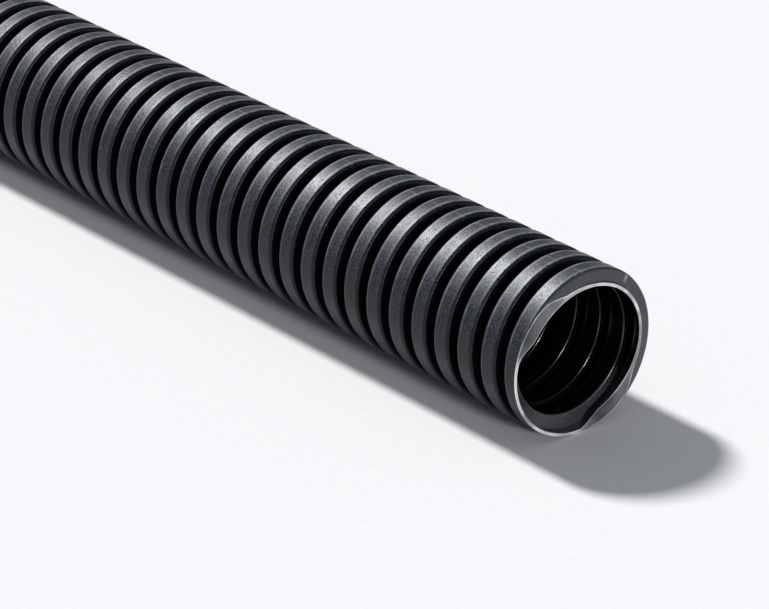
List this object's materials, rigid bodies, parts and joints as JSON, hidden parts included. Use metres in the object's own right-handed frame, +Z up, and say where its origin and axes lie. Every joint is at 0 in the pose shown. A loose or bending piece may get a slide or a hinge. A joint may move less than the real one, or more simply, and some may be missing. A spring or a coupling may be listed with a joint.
{
  "type": "corrugated electrical conduit",
  "caption": "Length of closed, ribbed black plastic conduit with sawn open ends, for leading and guarding electric cables.",
  "frame": {"origin": "on the floor under the middle of the conduit", "axes": "+X along the conduit, +Z up; the conduit lies on its rib crests at z = 0"},
  "size_m": [0.9979, 0.025, 0.025],
  "materials": {
    "conduit": "satin black"
  },
  "bodies": {
    "root": {"conduit": "conduit"}
  },
  "joints": []
}
